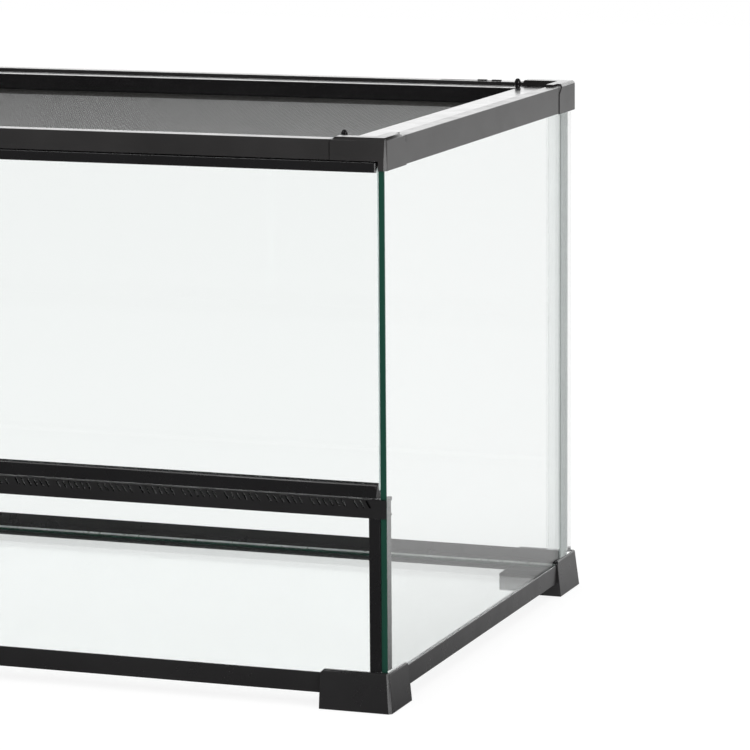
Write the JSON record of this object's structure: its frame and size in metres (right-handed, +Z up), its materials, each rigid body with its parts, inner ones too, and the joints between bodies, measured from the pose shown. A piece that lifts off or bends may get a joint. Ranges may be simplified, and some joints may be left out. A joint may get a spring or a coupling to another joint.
{
  "type": "reptile terrarium",
  "caption": "Front-opening glass terrarium in a black plastic frame, with swinging glass doors, a slotted ventilation strip, a lift-out screen lid, lock pins and sliding cable inlets.",
  "frame": {"origin": "middle of the footprint, on the surface the feet stand on", "axes": "+Z up, -Y towards the doors at the front, +X to the right as seen from the front"},
  "size_m": [0.9248, 0.4876, 0.4469],
  "materials": {
    "base_plastic": "moulded black, semi-gloss",
    "top_plastic": "moulded black, semi-gloss",
    "lid_plastic": "moulded black, semi-gloss",
    "door_plastic": "extruded black, semi-gloss",
    "glass_pane": "clear float glass, polished edges, green in depth",
    "silicone": "translucent silicone",
    "clear_plastic": "clear extruded plastic",
    "screen": "fine woven metal mesh, dark",
    "pin_steel": "plain steel"
  },
  "bodies": {
    "tank_frame": {"base_rail_front": "base_plastic", "base_rail_right": "base_plastic", "base_rail_rear": "base_plastic", "base_rail_left": "base_plastic", "foot_front_right": "base_plastic", "foot_front_left": "base_plastic", "foot_rear_right": "base_plastic", "foot_rear_left": "base_plastic", "top_rail_front": "top_plastic", "top_rail_right": "top_plastic", "top_rail_rear": "top_plastic", "top_rail_left": "top_plastic", "top_cap_front_right": "top_plastic", "top_cap_front_left": "top_plastic", "top_cap_rear_right": "top_plastic", "top_cap_rear_left": "top_plastic", "floor_glass": "glass_pane", "side_glass_right": "glass_pane", "side_glass_left": "glass_pane", "rear_glass": "glass_pane", "front_lower_glass": "glass_pane", "floor_bead": "silicone", "front_channel_right": "door_plastic", "rear_corner_strip_right": "clear_plastic", "front_channel_left": "door_plastic", "rear_corner_strip_left": "clear_plastic", "vent_strip": "door_plastic", "vent_mesh": "screen"},
    "door_right": {"door_glass_right": "glass_pane", "door_top_rail_right": "door_plastic", "door_bottom_rail_right": "door_plastic", "hinge_pins_right": "pin_steel"},
    "door_left": {"door_glass_left": "glass_pane", "door_top_rail_left": "door_plastic", "door_bottom_rail_left": "door_plastic", "hinge_pins_left": "pin_steel"},
    "screen_lid": {"lid_bar_front": "lid_plastic", "lid_bar_right": "lid_plastic", "lid_bar_rear": "lid_plastic", "lid_bar_left": "lid_plastic", "screen_mesh": "screen", "mesh_retainer": "lid_plastic"},
    "pin_front_right": {"lock_pin_front_right": "lid_plastic"},
    "pin_front_left": {"lock_pin_front_left": "lid_plastic"},
    "pin_rear_right": {"lock_pin_rear_right": "lid_plastic"},
    "pin_rear_left": {"lock_pin_rear_left": "lid_plastic"},
    "latch": {"latch_knob": "door_plastic", "latch_clip": "pin_steel"},
    "inlet_slide_right": {"cable_slide_right": "top_plastic"},
    "inlet_slide_left": {"cable_slide_left": "top_plastic"}
  },
  "joints": [
    {"name": "door_right_hinge", "type": "hinge", "parent": "tank_frame", "child": "door_right", "pos_m": [0.4463, -0.2335, 0.2965], "axis": [0, 0, 1], "range_deg": [0, 100]},
    {"name": "door_left_hinge", "type": "hinge", "parent": "tank_frame", "child": "door_left", "pos_m": [-0.4463, -0.2335, 0.2965], "axis": [0, 0, -1], "range_deg": [0, 100]},
    {"name": "screen_lift", "type": "slide", "parent": "tank_frame", "child": "screen_lid", "axis": [0, 0, 1], "range_m": [0, 0.1]},
    {"name": "pin_front_right_pull", "type": "slide", "parent": "screen_lid", "child": "pin_front_right", "axis": [0, 0, 1], "range_m": [0, 0.008]},
    {"name": "pin_front_left_pull", "type": "slide", "parent": "screen_lid", "child": "pin_front_left", "axis": [0, 0, 1], "range_m": [0, 0.008]},
    {"name": "pin_rear_right_pull", "type": "slide", "parent": "screen_lid", "child": "pin_rear_right", "axis": [0, 0, 1], "range_m": [0, 0.008]},
    {"name": "pin_rear_left_pull", "type": "slide", "parent": "screen_lid", "child": "pin_rear_left", "axis": [0, 0, 1], "range_m": [0, 0.008]},
    {"name": "latch_turn", "type": "hinge", "parent": "tank_frame", "child": "latch", "pos_m": [0, -0.2385, 0.1611], "axis": [0, 1, 0], "range_deg": [0, 90]},
    {"name": "inlet_right_slide", "type": "slide", "parent": "tank_frame", "child": "inlet_slide_right", "axis": [-1, 0, 0], "range_m": [0, 0.034]},
    {"name": "inlet_left_slide", "type": "slide", "parent": "tank_frame", "child": "inlet_slide_left", "axis": [1, 0, 0], "range_m": [0, 0.034]}
  ]
}
